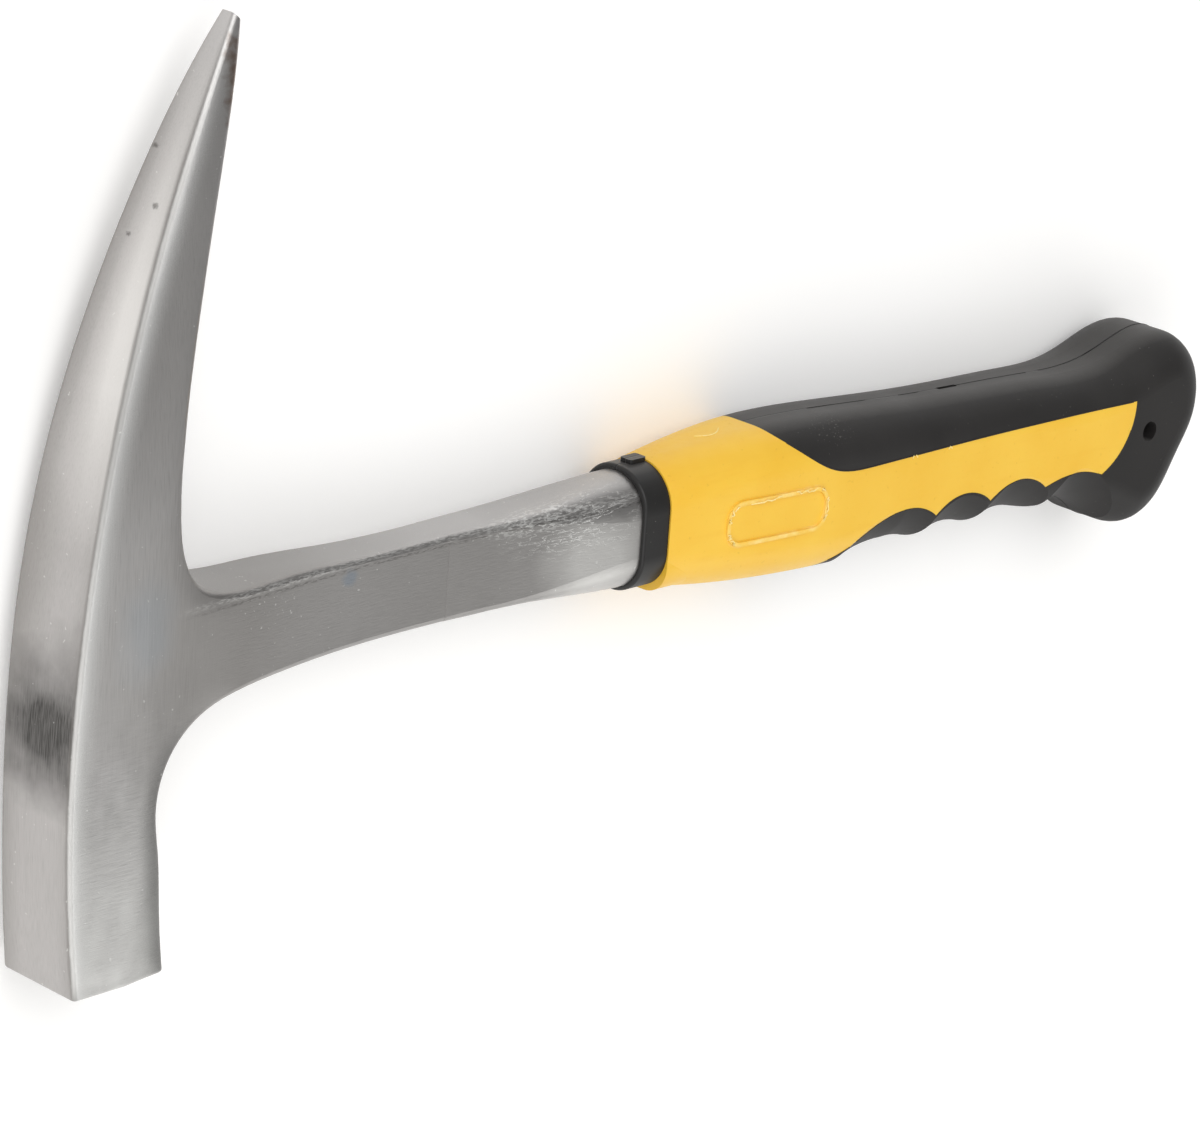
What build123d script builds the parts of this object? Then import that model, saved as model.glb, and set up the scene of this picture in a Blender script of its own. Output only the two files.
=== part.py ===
"""Rock hammer: a one-piece forged pick and shank in a two-shot moulded grip.

Millimetres. The hammer lies on its side: +X runs along the handle to the butt,
+Y points to the tip of the pick and +Z is up. It is drawn with Y = 0 on the
handle's axis and Z = 0 on its mid plane. Each form is symmetric about that
plane, so it is drawn for Z >= 0 and mirrored. At the end the pieces are moved
together, so that their common box is centred on the origin and rests on Z = 0.
"""

import math
import os

from build123d import *

# --- head: pick above the handle's axis, poll below it ---
tip_y = 118.0
tip_x = 34.4
tip_depth = 1.9              # blunt end of the pick, along X
tip_width = 3.8              # blunt end of the pick, along Z
face_y = -62.0               # striking face
face_front_x = -1.2
face_depth = 22.7            # along X
face_width = 21.0            # along Z
front_x = -3.5               # foremost point of the head
waist_y = -29.0              # narrowest part of the poll
waist_width = 19.9
waist_back_x = 17.9
eye_width = 20.4             # thickness of the head at the shank
eye_back_x = 21.3            # back of the pick just above the shank
edge_radius = 1.2            # long edges of the forging
face_edge_radius = 0.8       # edges of the striking face

# --- shank ---
shank_width = 10.4           # thickness of the slim part
shank_thin_x = 84.0          # the taper from the head ends here
neck_x = 93.0                # the swell to the grip starts here
neck_top = 9.5
neck_bottom = -8.4
seat_width = 16.8            # swollen section that the grip is moulded over
seat_top = 12.3
seat_bottom = -12.0
seat_round = 8.2

# --- tang, a flat bar with holes that lock the moulding ---
tang_width = 7.0
tang_height = 17.0
tang_end_gap = 36.9          # from the tang's end to the butt
tang_hole_radius = 4.0
tang_hole_pitch = 34.0
tang_hole_count = 3

# --- grip ---
collar_x = 143.0             # front of the collar
collar_length = 7.0
collar_step = 0.35           # the barrel stands this much proud of the collar
collar_edge_radius = 0.7
barrel_top = 13.8
barrel_bottom = -13.1
barrel_width = 19.2
hump_top = 16.3              # highest point of the barrel
palm_top = 12.2              # lowest point of the spine
belly_bottom = -17.1         # lowest line of the finger side
palm_width = 24.2
butt_x = 317.9               # rear end of the whole hammer
butt_width = 27.4
hook_bottom = -25.6
grip_round = 9.0             # rounding between the sides and the spine
cover_wall = 2.6             # soft cover over the hard core

# --- finger scoops across the underside ---
finger_count = 4
finger_pitch = 17.7
first_finger_gap = 97.3      # from the middle of the first scoop to the butt
finger_axis_y = -3.3
finger_inner_radius = 12.6   # from that axis to the bottom of a scoop
finger_scoop_radius = 31.0   # hollow of a scoop along the handle
last_scoop_radius = 20.0     # the last scoop turns down to the hook
last_inner_radius = 13.7     # and keeps clear of the handle's wide sides
last_scoop_shift = 1.4
last_arch_drop = 1.6         # how much lower the window's last arch is
lead_scoop_radius = 55.0     # run-in just ahead of the first scoop
lead_scoop_shift = 3.5

# --- window, where the core shows through the cover ---
window_top = 5.0
window_end_gap = 25.9        # from the window's end to the butt
tail_length = 28.1           # black underside ahead of the first scoop
spine_tip_x = 177.5          # tip of the black spine

# --- small features ---
lanyard_radius = 2.25
lanyard_gap = 20.4           # from the hole to the butt
lanyard_y = -2.6
slot_gap = 74.9              # from the slot to the butt
slot_length = 6.0
slot_width = 1.1
slot_depth = 1.4
badge_x = 179.3
badge_y = -0.8
badge_length = 28.0
badge_height = 8.8
badge_round = 3.6
badge_lean = -1.5
bead_width = 0.9
bead_rise = 0.45
nib_width = 3.2
nib_length = 4.5
nib_rise = 0.9

reach = 200.0                # longer than any stock that a profile cuts
grip_x = collar_x + collar_length
grip_length = butt_x - grip_x
tang_end_x = butt_x - tang_end_gap
first_finger_x = butt_x - first_finger_gap
window_end_x = butt_x - window_end_gap


def half_profile(half_widths, floor):
    """Closed half outline: a curve of half widths over a straight floor line."""
    with BuildLine() as outline:
        curve = Spline(*half_widths)
        start = curve @ 0
        end = curve @ 1
        Polyline(end, (end.X, floor), (start.X, floor), start)
    return outline.line


# ---------------------------------------------------------------- forging
# The blank is the side view cut to its front view and to its plan view.
with BuildPart() as forged_head:
    with BuildSketch(Plane.XY):
        with BuildLine():
            outer_face = Spline(
                (face_front_x, face_y),
                (front_x, -20.0),
                (front_x + 4.8, 30.0),
                (front_x + 17.6, 75.0),
                (tip_x, tip_y),
            )
            tip = Line(outer_face @ 1, (tip_x + tip_depth, tip_y - 1.8))
            back = Spline(
                tip @ 1,
                (31.6, 95.0),
                (eye_back_x + 2.8, 60.0),
                (eye_back_x, 28.0),
                (eye_back_x + 2.0, 18.3),
                (eye_back_x + 6.0, 13.0),
                (eye_back_x + 12.7, 10.4),
                (50.0, 10.0),
                (70.0, 9.5),
                (neck_x, neck_top),
            )
            neck = Line(back @ 1, (neck_x, neck_bottom))
            under = Spline(
                neck @ 1,
                (70.0, -8.4),
                (50.0, -9.1),
                (38.0, -10.2),
                (28.2, -12.9),
                (20.5, -19.7),
                (waist_back_x, waist_y),
                (waist_back_x + 1.0, -37.0),
                (waist_back_x + 1.9, -47.0),
                (face_front_x + face_depth, face_y),
            )
            Line(under @ 1, outer_face @ 0)
        make_face()
    extrude(amount=eye_width)
    with BuildSketch(Plane.YZ.offset(-reach / 2)):
        add(
            half_profile(
                (
                    (face_y - 4.0, face_width / 2 + 0.1),
                    (face_y, face_width / 2),
                    (waist_y, waist_width / 2),
                    (5.0, eye_width / 2),
                    (45.0, 9.2),
                    (85.0, 6.2),
                    (tip_y, tip_width / 2),
                    (tip_y + 4.0, tip_width / 2 - 0.9),
                ),
                -1.0,
            )
        )
        make_face()
    extrude(amount=2 * reach, mode=Mode.INTERSECT)
    with BuildSketch(Plane.XZ):
        add(
            half_profile(
                (
                    (-10.0, 15.5),
                    (10.0, 10.7),
                    (40.0, shank_width / 2 + 2.5),
                    (58.0, shank_width / 2 + 1.1),
                    (shank_thin_x, shank_width / 2),
                    (neck_x + 5.0, shank_width / 2),
                ),
                -1.0,
            )
        )
        make_face()
    extrude(amount=reach, both=True, mode=Mode.INTERSECT)
    long_edges = forged_head.edges().filter_by(
        lambda e: e.center().Z > 1.0
        and abs((e % 0.5).Z) < 0.7
        and e.center().X < neck_x - 1.0
        and face_y + 0.5 < e.center().Y < tip_y - 1.0
    )
    fillet(long_edges, edge_radius)
    mirror(about=Plane.XY)
    # the shank swells from the slim bar to the seat of the grip
    swell = (
        (neck_x, 0.0),
        (neck_x + 12.0, 0.17),
        (neck_x + 27.0, 0.5),
        (collar_x - 10.0, 0.86),
        (collar_x, 1.0),
        (grip_x, 1.0),
    )
    for section_x, share in swell:
        late = share**2
        top = neck_top + late * (seat_top - neck_top)
        bottom = neck_bottom + late * (seat_bottom - neck_bottom)
        width = shank_width + share * (seat_width - shank_width)
        corner = edge_radius + late * (seat_round - edge_radius)
        middle = (section_x, (top + bottom) / 2, 0)
        with BuildSketch(Plane(origin=middle, x_dir=(0, 1, 0), z_dir=(1, 0, 0))):
            RectangleRounded(top - bottom, width, corner)
    loft()
    # tang inside the grip
    with BuildSketch(Plane.XY) as tang_outline:
        tang_length = tang_end_x - grip_x
        tang_middle_y = (neck_top + neck_bottom) / 2
        with Locations((grip_x + tang_length / 2 - 1.0, tang_middle_y)):
            RectangleRounded(tang_length + 2.0, tang_height, 3.0)
        last_hole_x = tang_end_x - 2 * tang_height
        for i in range(tang_hole_count):
            with Locations((last_hole_x - i * tang_hole_pitch, tang_middle_y)):
                Circle(tang_hole_radius, mode=Mode.SUBTRACT)
    extrude(amount=tang_width / 2, both=True)
    face_edges = forged_head.faces().sort_by(Axis.Y)[0].edges()
    fillet(face_edges, face_edge_radius)


# ---------------------------------------------------------------- envelope
def grip_envelope(grow=0.0):
    """Upper half of the whole grip's outer form, its sides moved out by grow."""
    with BuildPart() as form:
        with BuildSketch(Plane.XY):
            with BuildLine():
                rim = Spline(
                    (grip_x, barrel_top),
                    (grip_x + 0.066 * grip_length, hump_top - 1.3),
                    (grip_x + 0.179 * grip_length, hump_top),
                    (grip_x + 0.335 * grip_length, hump_top - 1.0),
                    (grip_x + 0.508 * grip_length, palm_top + 1.2),
                    (grip_x + 0.687 * grip_length, palm_top),
                    (butt_x - 27.5, palm_top + 1.1),
                    (butt_x - 8.6, palm_top + 4.4),
                    (butt_x - 2.7, palm_top + 0.4),
                    (butt_x, -4.0),
                    (butt_x - 4.7, hook_bottom + 13.4),
                    (butt_x - 11.7, hook_bottom + 3.6),
                    (butt_x - 20.0, hook_bottom),
                    (butt_x - 31.7, hook_bottom + 4.2),
                    (butt_x - 43.4, belly_bottom - 0.7),
                    (grip_x + 0.538 * grip_length, belly_bottom),
                    (grip_x + 0.281 * grip_length, belly_bottom),
                    (grip_x + 0.137 * grip_length, belly_bottom + 1.4),
                    (grip_x, barrel_bottom),
                )
                Line(rim @ 1, rim @ 0)
            make_face()
        extrude(amount=butt_width)
        with BuildSketch(Plane.XZ):
            add(
                half_profile(
                    (
                        (grip_x, barrel_width / 2 + grow),
                        (grip_x + 0.18 * grip_length, palm_width / 2 - 0.1 + grow),
                        (grip_x + 0.6 * grip_length, palm_width / 2 + grow),
                        (butt_x - 17.4, butt_width / 2 + grow),
                        (butt_x + 3.0, butt_width / 2 - 0.6 + grow),
                    ),
                    0.0,
                )
            )
            make_face()
        extrude(amount=reach, both=True, mode=Mode.INTERSECT)
        shoulders = form.edges().filter_by(
            lambda e: e.center().Z > grip_round
            and abs((e % 0.5).Z) < 0.7
            and e.center().X > grip_x + 1.0
        )
        fillet(shoulders, grip_round)
    return form.part


# Each scoop is a ring around an axis along the handle.
finger_axis = Axis((0, finger_axis_y, 0), (-1, 0, 0))
scoops = [(first_finger_x - lead_scoop_shift, lead_scoop_radius, finger_inner_radius)]
for i in range(finger_count - 1):
    scoop_x = first_finger_x + i * finger_pitch
    scoops.append((scoop_x, finger_scoop_radius, finger_inner_radius))
last_finger_x = first_finger_x + (finger_count - 1) * finger_pitch
last_scoop_x = last_finger_x + last_scoop_shift
scoops.append((last_scoop_x, last_scoop_radius, last_inner_radius))

with BuildPart() as envelope:
    add(grip_envelope())
    for scoop_x, radius, inner_radius in scoops:
        with BuildSketch(Plane.XY):
            scoop_y = finger_axis_y - inner_radius - radius
            with Locations((scoop_x, scoop_y)):
                Circle(radius)
        revolve(axis=finger_axis, revolution_arc=90.0, mode=Mode.SUBTRACT)
    mirror(about=Plane.XY)


# ---------------------------------------------------------------- window
def scoop_edge(x_from_middle):
    """Height where a scoop leaves the flat side, at a distance from its middle."""
    sagitta = finger_scoop_radius - math.sqrt(finger_scoop_radius**2 - x_from_middle**2)
    radius = finger_inner_radius + sagitta
    return finger_axis_y - math.sqrt(radius**2 - (palm_width / 2) ** 2)


with BuildPart() as core_region:
    with BuildSketch(Plane.XY):
        with BuildLine():
            far_y = 2 * hook_bottom
            s_curve = Spline(
                (spine_tip_x, hump_top + 3.0),
                (183.7, 13.0),
                (193.0, 7.4),
                (206.0, window_top),
                tangents=((0.4, -1.0), (1.0, 0.0)),
            )
            sill = Line(s_curve @ 1, (window_end_x, window_top + 0.2))
            last_cusp_x = first_finger_x + (finger_count - 0.5) * finger_pitch
            cusp_y = scoop_edge(finger_pitch / 2)
            last_arch_y = scoop_edge(0.0) - last_arch_drop
            tail_curve = ThreePointArc(
                sill @ 1,
                (window_end_x - 1.5, -2.3),
                (last_cusp_x, cusp_y),
            )
            last_arch = ThreePointArc(
                tail_curve @ 1,
                (last_finger_x, last_arch_y),
                (last_finger_x - finger_pitch / 2, cusp_y),
            )
            corner = last_arch @ 1
            for i in reversed(range(1, finger_count - 1)):
                apex_x = first_finger_x + i * finger_pitch
                next_corner = (apex_x - finger_pitch / 2, cusp_y)
                ThreePointArc(corner, (apex_x, scoop_edge(0.0)), next_corner)
                corner = next_corner
            first_arch = Spline(
                corner,
                (first_finger_x, scoop_edge(0.0)),
                (first_finger_x - 12.6, -9.6),
                (first_finger_x - tail_length, belly_bottom - 1.0),
            )
            Polyline(
                first_arch @ 1,
                (first_finger_x - tail_length, far_y),
                (grip_x, far_y),
                (grip_x, -far_y),
                (spine_tip_x, -far_y),
                s_curve @ 0,
            )
        make_face()
    extrude(amount=butt_width, both=True)


# ---------------------------------------------------------------- badge rim
# A raised bead around a bare pill-shaped field follows the barrel's side.
hidden_width = palm_width - 2 * cover_wall
with BuildSketch(Plane.XY) as badge_rim:
    with Locations(Location((badge_x, badge_y, 0), (0, 0, badge_lean))):
        RectangleRounded(
            badge_length + bead_width,
            badge_height + bead_width,
            badge_round + bead_width / 2,
        )
        RectangleRounded(
            badge_length - bead_width,
            badge_height - bead_width,
            badge_round - bead_width / 2,
            mode=Mode.SUBTRACT,
        )

with BuildPart() as bead:
    add(grip_envelope(bead_rise))
    with BuildSketch(Plane.XY):
        add(badge_rim.sketch)
    extrude(amount=butt_width, mode=Mode.INTERSECT)
    split(bisect_by=Plane.XY.offset(hidden_width / 2), keep=Keep.TOP)


# ---------------------------------------------------------------- hard core
# What shows of the core fills the envelope; the rest lies under the cover.
with BuildPart() as grip_core:
    add(envelope.part)
    add(core_region.part, mode=Mode.INTERSECT)
    hidden_end_x = window_end_x - cover_wall - 1.0
    hidden_top = palm_top - cover_wall
    hidden_bottom = finger_axis_y - finger_inner_radius + cover_wall
    hidden_length = hidden_end_x - grip_x
    with BuildSketch(Plane.YZ.offset(grip_x)):
        with Locations(((hidden_top + hidden_bottom) / 2, 0)):
            RectangleRounded(hidden_top - hidden_bottom, hidden_width, 6.0)
    extrude(amount=hidden_length, mode=Mode.ADD)
    add(bead.part)
    add(forged_head.part, mode=Mode.SUBTRACT)


# ---------------------------------------------------------------- soft cover
# Spine, finger side and butt are one moulding over the core.
with BuildPart() as grip_cover:
    add(envelope.part)
    add(grip_core.part, mode=Mode.SUBTRACT)
    add(forged_head.part, mode=Mode.SUBTRACT)
    with Locations((butt_x - lanyard_gap, lanyard_y, 0)):
        Cylinder(lanyard_radius, 2 * butt_width, mode=Mode.SUBTRACT)
    # vent slot on the parting line of the spine
    with Locations((butt_x - slot_gap, palm_top + 1.0, 0)):
        Box(slot_length, 2 * slot_depth, slot_width, mode=Mode.SUBTRACT)


# ---------------------------------------------------------------- collar
with BuildPart() as front_collar:
    collar_height = barrel_top - barrel_bottom - 2 * collar_step
    collar_middle_y = (barrel_top + barrel_bottom) / 2
    with BuildSketch(Plane.YZ.offset(collar_x)):
        with Locations((collar_middle_y, 0)):
            RectangleRounded(
                collar_height,
                barrel_width - 2 * collar_step,
                grip_round - collar_step,
            )
    extrude(amount=collar_length)
    front_rim = front_collar.faces().sort_by(Axis.X)[0].edges()
    fillet(front_rim, collar_edge_radius)
    # gate nib on top, against the barrel
    with BuildSketch(Plane.XZ.offset(-(barrel_top - 2.0))):
        with Locations((grip_x - nib_length / 2, 0)):
            RectangleRounded(nib_length, nib_width, 0.6)
    extrude(amount=-(2.0 - collar_step + nib_rise))
    add(forged_head.part, mode=Mode.SUBTRACT)


# ---------------------------------------------------------------- write
os.makedirs("parts", exist_ok=True)
forged_head.part.label = "forged_head"
front_collar.part.label = "front_collar"
grip_core.part.label = "grip_core"
grip_cover.part.label = "grip_cover"
pieces = (forged_head.part, front_collar.part, grip_core.part, grip_cover.part)
whole = Compound([solid for piece in pieces for solid in piece.solids()]).bounding_box()
to_origin = Location((-whole.center().X, -whole.center().Y, -whole.min.Z))
for piece in pieces:
    piece.move(to_origin)
    export_step(piece, f"parts/{piece.label}.step")
print("moved by", to_origin.position, "size", whole.size)
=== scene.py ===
# %% [markdown]
# # Dressing a one-piece rock hammer
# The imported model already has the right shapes: one steel forging for the head, the
# shank and the tang, a collar, a hard core and a rubber cover. They could be modelled
# again here, but then they would no longer agree with the solids. So the shapes stay,
# and this lesson gives each surface its material, adds the small marks that moulding
# leaves, and lights the result.

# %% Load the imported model
import math
import random

import bmesh
import bpy
from mathutils import Matrix, Vector
from mathutils.bvhtree import BVHTree


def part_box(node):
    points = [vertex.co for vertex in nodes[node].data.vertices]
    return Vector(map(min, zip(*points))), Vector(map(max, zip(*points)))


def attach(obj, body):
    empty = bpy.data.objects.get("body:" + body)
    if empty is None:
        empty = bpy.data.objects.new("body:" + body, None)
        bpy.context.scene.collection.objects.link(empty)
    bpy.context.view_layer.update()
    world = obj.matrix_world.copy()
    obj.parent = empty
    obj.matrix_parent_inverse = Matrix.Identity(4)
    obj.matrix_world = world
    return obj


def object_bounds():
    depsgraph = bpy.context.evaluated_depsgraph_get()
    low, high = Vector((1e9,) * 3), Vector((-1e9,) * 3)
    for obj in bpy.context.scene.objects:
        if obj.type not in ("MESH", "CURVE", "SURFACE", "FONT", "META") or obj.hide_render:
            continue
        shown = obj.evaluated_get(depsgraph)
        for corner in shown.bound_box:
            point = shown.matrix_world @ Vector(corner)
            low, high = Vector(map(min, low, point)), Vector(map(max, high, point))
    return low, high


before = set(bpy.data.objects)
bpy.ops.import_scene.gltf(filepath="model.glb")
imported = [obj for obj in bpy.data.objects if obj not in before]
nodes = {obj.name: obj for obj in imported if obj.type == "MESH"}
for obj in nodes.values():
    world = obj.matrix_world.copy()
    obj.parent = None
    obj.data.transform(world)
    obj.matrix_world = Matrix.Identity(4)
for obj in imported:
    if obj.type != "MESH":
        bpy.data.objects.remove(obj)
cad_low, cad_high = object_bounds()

MM = 0.001
scene = bpy.context.scene
size_mm = (cad_high - cad_low) / MM
print("nodes:", sorted(nodes))
print("size in mm:", [round(s, 1) for s in size_mm])

# %% [markdown]
# ## Finding places on the hammer
# A mark has to sit at one place on the steel or on the grip. It could be placed by
# numbers from the world's origin, but they say little and go wrong if the hammer is
# resized. Here a place is so many millimetres from the low corner of its own node.

# %% Corners that places are measured from
head_low, head_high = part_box("forged_head")
core_low, core_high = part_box("grip_core")
cover_low, cover_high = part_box("grip_cover")
middle = (cad_low + cad_high) / 2


def place(corner, x, y, z):
    """A point so many millimetres from a corner, itself in millimetres."""
    return Vector((corner.x / MM + x, corner.y / MM + y, corner.z / MM + z))


badge_middle = place(core_low, 29.30, 16.20, 25.50)
head_x = head_low.x / MM
head_y = head_low.y / MM
middle_z = middle.z / MM
print("head corner in mm:", round(head_x, 1), round(head_y, 1))
print("middle of the bare field in mm:", [round(c, 1) for c in badge_middle])

# %% [markdown]
# ## Camera
# A hammer lying on a table is looked at from above, over the pick. A near camera would
# swell the pick and shrink the butt, so a long lens stands a metre away. Its three
# directions are written out, because a slight roll is easier to give that way than
# with angles.

# %% Set the camera
VIEW_RIGHT = Vector((0.7067, 0.0690, 0.7042)).normalized()
VIEW_FORWARD = Vector((0.6830, -0.3263, -0.6535)).normalized()
VIEW_UP = VIEW_RIGHT.cross(VIEW_FORWARD)
CAMERA_OFFSET = Vector((-0.70265, 0.29034, 0.6560))

camera = bpy.data.objects.new("camera", bpy.data.cameras.new("camera"))
scene.collection.objects.link(camera)
scene.camera = camera
camera.data.lens = 150
camera.data.sensor_width = 36
camera.data.clip_end = 20
turn = Matrix((VIEW_RIGHT, VIEW_UP, -VIEW_FORWARD)).transposed().to_4x4()
camera.matrix_world = Matrix.Translation(middle + CAMERA_OFFSET) @ turn
print("camera is", round(CAMERA_OFFSET.length, 3), "m from the middle")

# %% [markdown]
# ## What every material needs
# A material is a tree of nodes. In the editor they are dragged and joined by hand. In
# code one function adds a node of any kind, sets it and links it, so the recipe below
# stays readable. Colours are written as hex codes, as on a paint chart, and one
# function turns them into the linear values that Blender reckons with. Every tree
# starts from Object coordinates in millimetres, so a scale of 2 means two patches to
# the millimetre on all the pieces.

# %% Colours, nodes and an empty material
# A Mix node keeps a pair of sockets for each kind of value
NUMBER_A, NUMBER_B = 2, 3
VECTOR_A, VECTOR_B = 4, 5
UNDER, OVER = 6, 7


def colour(code):
    """An sRGB hex code as linear red, green, blue and alpha."""
    channels = [int(code[i:i + 2], 16) / 255 for i in (0, 2, 4)]
    linear = []
    for c in channels:
        linear.append(c / 12.92 if c <= 0.04045 else ((c + 0.055) / 1.055) ** 2.4)
    return (*linear, 1.0)


def add(tree, kind, sockets, **settings):
    """Adds a node with its settings, and fills its sockets.

    A socket takes a value, another node's socket, or a whole node, which stands for
    that node's first output in use.
    """
    node = tree.nodes.new("ShaderNode" + kind)
    for name, value in settings.items():
        setattr(node, name, value)
    for socket, value in sockets.items():
        if isinstance(value, bpy.types.Node):
            value = next(output for output in value.outputs if output.enabled)
        if isinstance(value, bpy.types.NodeSocket):
            tree.links.new(value, node.inputs[socket])
        else:
            node.inputs[socket].default_value = value
    return node


def new_material(name):
    """An empty material, its tree, its coordinates in mm and where it faces."""
    material = bpy.data.materials.new(name)
    material.use_nodes = True
    tree = material.node_tree
    tree.nodes.clear()
    where = add(tree, "TexCoord", {}).outputs
    mm = add(tree, "VectorMath", {0: where["Object"], "Scale": 1 / MM}, operation="SCALE")
    return material, tree, mm, where["Normal"]


print("hex 808080 is", round(colour("808080")[0], 3), "in linear light")

# %% [markdown]
# ## Satin-ground steel
# Head and shank are one piece of drop-forged carbon steel, ground on belts and left
# bare. To the eye that is a middle grey metal with a soft reflection, drawn out along
# fine lines. It could be an image wrapped round the head, but that has seams and a
# fixed sharpness. So the finish is built from masks, values from 0 to 1 that say where
# on the head a tone belongs. The first ones say which way the surface faces, and which
# region it is in, with limits in millimetres from the head's low corner.

# %% Steel: masks for faces and regions
steel, tree, mm, facing = new_material("satin_ground_steel")
faces = add(tree, "SeparateXYZ", {"Vector": facing}).outputs
places = add(tree, "SeparateXYZ", {"Vector": mm}).outputs
along_x = places["X"]
along_y = places["Y"]

# flank: the hammer's two sides. front: the narrow faces between them
steepness = add(tree, "Math", {0: faces["Z"]}, operation="ABSOLUTE")
flank = add(tree, "MapRange", {"Value": steepness, "From Min": 0.4, "From Max": 0.8})
front = add(tree, "Math", {0: 1.0, 1: flank}, operation="SUBTRACT")

# The head against the shank, and in the head the poll below against the pick above
in_head = add(
    tree, "MapRange", {"Value": along_x, "From Min": head_x + 42, "From Max": head_x + 24}
)
on_shank = add(tree, "Math", {0: 1.0, 1: in_head}, operation="SUBTRACT")
in_poll = add(
    tree, "MapRange", {"Value": along_y, "From Min": head_y + 62, "From Max": head_y + 36}
)
in_pick = add(
    tree, "MapRange", {"Value": along_y, "From Min": head_y + 85, "From Max": head_y + 115}
)
front_head = add(tree, "Math", {0: front, 1: in_head}, operation="MULTIPLY")
flank_head = add(tree, "Math", {0: flank, 1: in_head}, operation="MULTIPLY")
front_pick = add(tree, "Math", {0: front, 1: in_pick}, operation="MULTIPLY")
print("steel: masks use", len(tree.nodes), "nodes")

# %% [markdown]
# ### Grinding lines
# A belt leaves long fine lines. On the pick and the front they follow the curve, and on
# the poll's sides and the shank they run across. A wave texture would look too even, so
# noise is squeezed hard across the lines and drawn out along them. Real lines are under
# 0.1 mm apart and would blur away, so they are drawn about 0.2 mm apart.

# %% Steel: grinding lines
ALONG_THE_CURVE = (5.0, 0.16, 5.0)
ACROSS_THE_POLL = (0.35, 5.0, 2.0)


def two_tones(tree, mm, scale, low, high, under, over):
    """Two colours that drift into each other in patches of about 1 / scale mm."""
    cloud = add(tree, "TexNoise", {"Vector": mm, "Scale": scale, "Detail": 3.0})
    share = add(tree, "MapRange", {"Value": cloud, "From Min": low, "From Max": high})
    sockets = {"Factor": share, UNDER: colour(under), OVER: colour(over)}
    return add(tree, "Mix", sockets, data_type="RGBA")


def tint(tree, tone, mask, share, code):
    """Lays a colour over the tone, through a mask and so strongly."""
    strength = add(tree, "Math", {0: mask, 1: share}, operation="MULTIPLY")
    sockets = {"Factor": strength, UNDER: tone, OVER: colour(code)}
    return add(tree, "Mix", sockets, data_type="RGBA")


# Passes of the belt leave tones some 30 mm wide
tone = two_tones(tree, mm, 0.035, 0.35, 0.65, "ADABAA", "B7B5B4")

# Lines 0.2 mm wide: 6 mm long on the curve, and 3 mm long across the poll
drawn_out = add(tree, "VectorMath", {0: mm, 1: ALONG_THE_CURVE}, operation="MULTIPLY")
lines_up = add(tree, "TexNoise", {"Vector": drawn_out, "Scale": 1.0, "Detail": 2.0})
drawn_out = add(tree, "VectorMath", {0: mm, 1: ACROSS_THE_POLL}, operation="MULTIPLY")
lines_across = add(tree, "TexNoise", {"Vector": drawn_out, "Scale": 1.0, "Detail": 3.0})
across_share = add(tree, "Math", {0: in_poll, 1: on_shank}, operation="MAXIMUM")
across_share = add(tree, "Math", {0: flank, 1: across_share}, operation="MULTIPLY")
lines = add(
    tree, "Mix", {"Factor": across_share, NUMBER_A: lines_up, NUMBER_B: lines_across}
)
streak = add(tree, "MapRange", {"Value": lines, "From Min": 0.30, "From Max": 0.70})
low_lines = add(tree, "MapRange", {"Value": lines, "From Min": 0.45, "From Max": 0.2})
line_share = add(tree, "MapRange", {"Value": in_head, "To Min": 0.10, "To Max": 0.24})
tone = tint(tree, tone, streak, line_share, "D2D0CE")
tone = tint(tree, tone, low_lines, line_share, "7C7A77")
print("steel: lines are", 1 / ALONG_THE_CURVE[0], "mm apart")

# %% [markdown]
# ### The poll's foot
# Next to the striking face the sides are lighter, a painted reflection of a white
# surface beyond that face, and above that the grinding left them mottled. Painting this
# by hand would look no better than a height mask and one soft noise, and the noise
# carries on round the corner by itself.

# %% Steel: painted reflection on the foot, and mottled flanks
FOOT_TOP = 44
FOOT_FULL = 10
foot = add(
    tree, "MapRange",
    {"Value": along_y, "From Min": head_y + FOOT_TOP, "From Max": head_y + FOOT_FULL},
)

# The mottles are some 6 mm wide
drawn_out = add(tree, "VectorMath", {0: mm, 1: (1.0, 0.6, 1.0)}, operation="MULTIPLY")
mottle = add(tree, "TexNoise", {"Vector": drawn_out, "Scale": 0.16, "Detail": 3.0})
mottle = add(tree, "MapRange", {"Value": mottle, "From Min": 0.35, "From Max": 0.65})
even = add(tree, "MapRange", {"Value": mottle, "To Min": 0.60, "To Max": 1.0})
foot = add(tree, "Math", {0: foot, 1: flank}, operation="MULTIPLY")
foot = add(tree, "Math", {0: foot, 1: even}, operation="MULTIPLY")
# The lighter foot is a painted reflection of a white surface beyond the striking face
tone = tint(tree, tone, foot, 0.62, "E6E6E3")

above_foot = add(
    tree, "MapRange", {"Value": along_y, "From Min": head_y + 18, "From Max": head_y + 36}
)
patchy = add(tree, "Math", {0: mottle, 1: flank}, operation="MULTIPLY")
patchy = add(tree, "Math", {0: patchy, 1: in_poll}, operation="MULTIPLY")
patchy = add(tree, "Math", {0: patchy, 1: above_foot}, operation="MULTIPLY")
tone = tint(tree, tone, patchy, 0.35, "888785")
print("steel: the light foot fades out", FOOT_TOP, "mm above the striking face")

# %% [markdown]
# ### The crowned front
# The front of the head is not flat: hand grinding crowns it a little, so it darkens
# towards both long edges, and half of the pick's front catches the light. The crown is
# too slight to model, so a value that runs from -1 at one edge to 1 at the other
# places its tones. The front narrows up the pick, and the value narrows with it.

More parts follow.
